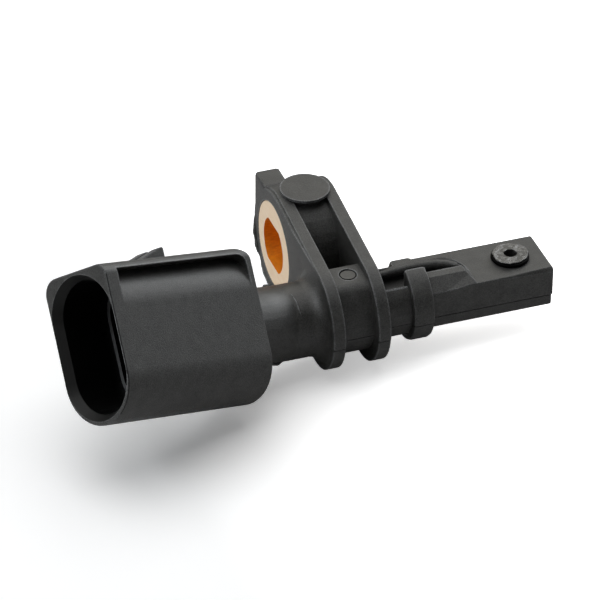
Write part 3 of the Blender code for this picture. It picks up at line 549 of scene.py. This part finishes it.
def collar_grid():
    """A profile of radius and height, turned round the post: the radius has the head's own shift
    and small waves round it. The rows run upwards, so that the faces point outwards."""
    turn = np.linspace(0, 2 * np.pi, AROUND_STEPS, endpoint=False)
    uneven = HEAD_SHIFT * np.cos(turn - HEAD_SHIFT_TURN) + COLLAR_WAVE * np.sin(COLLAR_WAVES * turn)
    radius = COLLAR_PROFILE[:, :1] + uneven
    height = np.broadcast_to(COLLAR_PROFILE[:, 1:], radius.shape)
    x = HEAD_PLACE[0] + radius * np.cos(turn)
    y = HEAD_PLACE[1] + radius * np.sin(turn)
    return np.stack((x, y, height), axis=-1)[::-1]


shade_under_head = clouded(
    "painted_shade_under_head", {"Roughness": 0.6, "IOR": NYLON_IOR, "Specular IOR Level": 0.04},
    size=0.4 * MM, detail=3.0, dark="#010101", light="#050505")
head_shade_ring = show("head_shade_ring", fill_grid("head_shade_ring", collar_grid()))
head_shade_ring.data.materials.append(shade_under_head)
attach(head_shade_ring, "root")


# The pocket's far edge is moulded as a rounded bead, in one with the body and of its nylon. It
# swells along the middle of the edge and runs out in the flange's plate and at the tip's ramp.
BEAD_STEPS = 48
BEAD_SIDES = 14
POCKET_EDGE = ((-1.2, 2.6, 2.8), (2.4, 2.6, 2.85), (4.2, 2.8, 2.85), (5.9, 2.95, 2.85),
               (8.2, 2.9, 2.85), (10.0, 2.7, 2.85), (11.4, 2.3, 2.85), (12.5, 1.6, 2.9),
               (13.3, 0.7, 3.0))
POCKET_BEAD = (0.3, 0.55, 0.68, 0.7, 0.7, 0.68, 0.62, 0.45, 0.1)


def bead(name, path, thickness):
    """A round bead along a path, both in millimetres, with a radius given at each point. Between
    two points the path is straight and the radius follows a smooth step. A ring of that radius
    stands square to the path at each place. An end whose radius is nothing closes in a point, and
    any other end stays open."""
    path = np.array(path) * MM
    thickness = np.array(thickness) * MM
    where = np.linspace(0, len(path) - 1, BEAD_STEPS)
    number = np.arange(len(path))
    line = np.stack([np.interp(where, number, coordinate) for coordinate in path.T], axis=-1)
    whole = np.minimum(where.astype(int), len(path) - 2)
    part = where - whole
    ease = part * part * (3 - 2 * part)
    radius = thickness[whole] * (1 - ease) + thickness[whole + 1] * ease
    ahead = np.gradient(line, axis=0)
    ahead /= np.linalg.norm(ahead, axis=1)[:, None]
    least = np.eye(3)[np.argmin(abs(ahead).max(0))]
    across = np.cross(ahead, least)
    across /= np.linalg.norm(across, axis=1)[:, None]
    upward = np.cross(ahead, across)
    turn = np.linspace(0, 2 * np.pi, BEAD_SIDES, endpoint=False)[None, :, None]
    ring = across[:, None] * np.cos(turn) + upward[:, None] * np.sin(turn)
    mesh = fill_grid(name, line[:, None] + radius[:, None, None] * ring)
    shape = bmesh.new()
    shape.from_mesh(mesh)
    bmesh.ops.remove_doubles(shape, verts=shape.verts, dist=WELD)
    bmesh.ops.recalc_face_normals(shape, faces=shape.faces)
    shape.to_mesh(mesh)
    shape.free()
    mesh.shade_smooth()
    mesh.materials.append(nylon)
    piece = show(name, mesh)
    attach(piece, "root")


bead("pocket_bead", POCKET_EDGE, POCKET_BEAD)


# Thin flash and small burrs stand where the mould's parts met: two on the eye's front edge, a nub
# and a fin on the neck, and a fine ridge round the neck where the flare begins. They are the
# body's own nylon, pressed into the mould's joints, and have its grain. Sizes are in millimetres.
EYE_FRONT = -8.75
EYE_RIM = 8.05
EYE_FLASH_TURNS = (2, -6, -12, -18, -25, -31, -37, -43)
EYE_FLASH = (0, 0.16, 0.24, 0.36, 0.27, 0.36, 0.24, 0)
EYE_LOW_TURNS = (-47, -54, -62, -70, -80, -90)
EYE_LOW_FLASH = (0, 0.13, 0.18, 0.10, 0.16, 0)
NUB_PATH = ((-15.1, 3.1, 4.2), (-14.7, 3.1, 4.3), (-14.2, 3.1, 4.25), (-13.7, 3.1, 4.15))
NUB = (0, 0.33, 0.30, 0)
FIN_PATH = ((-16.3, -3.2, -4.1), (-15.7, -3.2, -4.2), (-15.0, -3.2, -4.3), (-14.0, -3.2, -4.1))
FIN = (0, 0.22, 0.28, 0)
NECK_AXIS = (0, 0)
RIDGE_PLACES = (-12.45, -12.2, -12.0, -11.95, -11.75)
RIDGE_RADIUS = 5.27
RIDGE_TURNS = (96, 104, 116, 130, 143)
RIDGE = (0, 0.07, 0.09, 0.08, 0)


def rim_path(x, centre, radius, angles):
    """Points on a circle round an axis along X, at angles from +Y in degrees. Their x is one
    number, or one for each angle."""
    turn = np.radians(angles)
    y = centre[0] + radius * np.cos(turn)
    z = centre[1] + radius * np.sin(turn)
    return np.stack((np.broadcast_to(x, turn.shape), y, z), axis=-1)


bead("eye_flash", rim_path(EYE_FRONT, EYE_MM, EYE_RIM, EYE_FLASH_TURNS), EYE_FLASH)
bead("eye_flash_low", rim_path(EYE_FRONT, EYE_MM, EYE_RIM, EYE_LOW_TURNS), EYE_LOW_FLASH)
bead("neck_nub", NUB_PATH, NUB)
bead("neck_fin", FIN_PATH, FIN)
bead("neck_ridge", rim_path(RIDGE_PLACES, NECK_AXIS, RIDGE_RADIUS, RIDGE_TURNS), RIDGE)


# Two strips of brass, bent and then tinned, run from the socket's pins to the core. Tin is
# bright and smooth, and lies in faint clouds, so the pins show as pale silver with soft patches.
TIN_CLOUD = 0.6 * MM


def refinish(nodes, finish):
    """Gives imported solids, whose shapes stay, another finish."""
    for node in nodes:
        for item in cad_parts[node].material_slots:
            item.material = finish


refinish(("terminal_low", "terminal_high"), clouded(
    "tinned_brass", {"Metallic": 1.0, "Roughness": 0.25},
    size=TIN_CLOUD, detail=3.0, dark="#CFCBC0", light="#E0DDD4"))


# The chip's two leads are flat strips, stamped from rolled copper alloy. The rolled face is
# duller than tin and has slight stains, so they show as soft reddish metal.
COPPER_CLOUD = 0.6 * MM

refinish(("lead_near", "lead_far"), clouded(
    "copper_alloy", {"Metallic": 1.0, "Roughness": 0.35},
    size=COPPER_CLOUD, detail=3.0, dark="#CF9675", light="#E0AE92"))


# The sensor chip and the capacitor on the bar are blocks of black epoxy with a mineral filler,
# moulded round their works. The filler makes them an even, satin dark grey.
EPOXY_CLOUD = 0.3 * MM

refinish(("sensor_chip", "capacitor"), clouded(
    "moulded_epoxy", {"Roughness": 0.5},
    size=EPOXY_CLOUD, detail=2.0, dark="#1B1B1C", light="#262628"))


# The floor is a sweep of matt white paper. The camera alone sees it lighter than it lights the
# object, and gets a glow from it that grows from the plug's end to the tip's, so that it is white
# away from the shadow, and the shadow is painted lighter towards the tip.
FLOOR_GAP = 0.2 * MM
REACH = 3.0
PAPER = 0.75
PAPER_SEEN = 1.2
PAPER_SEEN_GAIN = 0.4
PAPER_GLOW = 0.85
GLOW_START = -34 * MM
GLOW_END = 22 * MM

floor_z = cad_box[0][2] - FLOOR_GAP
floor_mesh = bpy.data.meshes.new("floor")
floor_mesh.from_pydata([(-REACH, -REACH, floor_z), (REACH, -REACH, floor_z),
                        (REACH, REACH, floor_z), (-REACH, REACH, floor_z)], [], [(0, 1, 2, 3)])
floor = show("floor", floor_mesh)
paper, tree, shader, place = new_finish("white_paper", {
    "Roughness": 0.9, "Specular IOR Level": 0.0, "Emission Color": (1, 1, 1, 1)})
seen = add(tree, "ShaderNodeLightPath")
where = add(tree, "ShaderNodeSeparateXYZ", Vector=place)
right = add(tree, "ShaderNodeMapRange", {"From Min": GLOW_START, "From Max": GLOW_END},
            Value=where.outputs["X"])
curve = add(tree, "ShaderNodeMath", {"operation": "POWER", 1: 2.0}, _0=right.outputs["Result"])
fade = add(tree, "ShaderNodeMath",
           {"operation": "MULTIPLY_ADD", 1: PAPER_SEEN_GAIN, 2: PAPER_SEEN},
           _0=curve.outputs["Value"])
lighter = add(tree, "ShaderNodeMix",
              {"data_type": "RGBA", "clamp_factor": True, 6: (PAPER, PAPER, PAPER, 1)},
              Factor=seen.outputs["Is Camera Ray"], _7=fade.outputs["Value"])
tree.links.new(lighter.outputs[2], shader.inputs["Base Color"])
glow = add(tree, "ShaderNodeMath", {"operation": "MULTIPLY", 1: PAPER_GLOW},
           _0=right.outputs["Result"])
shown = add(tree, "ShaderNodeMath", {"operation": "MULTIPLY"}, _0=glow.outputs["Value"],
            _1=seen.outputs["Is Camera Ray"])
tree.links.new(shown.outputs["Value"], shader.inputs["Emission Strength"])
floor_mesh.materials.append(paper)


# One wide softbox hangs overhead and a smaller one lights the flange from the plug's side. Four
# more only add sheen: one behind, one behind the tip's corner, one high at the plug's side for
# the flare, and one beside the tip. The front gets the room's light. Places are in metres.
WHITE = (1.0, 1.0, 1.0)
WARM = (1.0, 0.97, 0.87)
COOL = (0.95, 0.98, 1.0)
ROOM_LIGHT = 0.13
ROOM_SEEN = 1.0


def softbox(name, place, size, power, colour, sheen_only=True):
    """A rectangular lamp that faces the object. One for sheen alone shows in gloss and lights no
    matt surface."""
    lamp = bpy.data.lights.new(name, "AREA")
    lamp.shape = "RECTANGLE"
    lamp.size, lamp.size_y = size
    lamp.energy = power
    lamp.color = colour
    item = show(name, lamp)
    item.location = place
    item.rotation_euler = Vector(place).to_track_quat("Z", "Y").to_euler()
    item.visible_diffuse = not sheen_only


softbox("overhead_softbox", place=(-0.05, 0.25, 1.1), size=(1.4, 1.4), power=10.0, colour=WHITE,
        sheen_only=False)
softbox("left_softbox", place=(-0.9, 0.12, 0.62), size=(0.6, 0.5), power=4.5, colour=COOL,
        sheen_only=False)
softbox("back_softbox", place=(0.25, 0.95, 0.65), size=(1.5, 0.7), power=5.2, colour=WARM)
softbox("corner_softbox", place=(0.98, 0.52, 0.5), size=(0.7, 0.5), power=8.5, colour=COOL)
softbox("flare_softbox", place=(-0.72, -0.17, 0.80), size=(0.4, 0.4), power=4.0, colour=COOL)
softbox("side_softbox", place=(1.1, -0.1, 0.45), size=(0.7, 0.5), power=2.0, colour=COOL)

world = bpy.data.worlds.new("world")
bpy.context.scene.world = world
world.use_nodes = True
tree = world.node_tree
room = tree.nodes["Background"]
room.inputs["Color"].default_value = (1, 1, 1, 1)
seen = add(tree, "ShaderNodeLightPath")
level = add(tree, "ShaderNodeMapRange", {"To Min": ROOM_LIGHT, "To Max": ROOM_SEEN},
            Value=seen.outputs["Is Camera Ray"])
tree.links.new(level.outputs["Result"], room.inputs["Strength"])
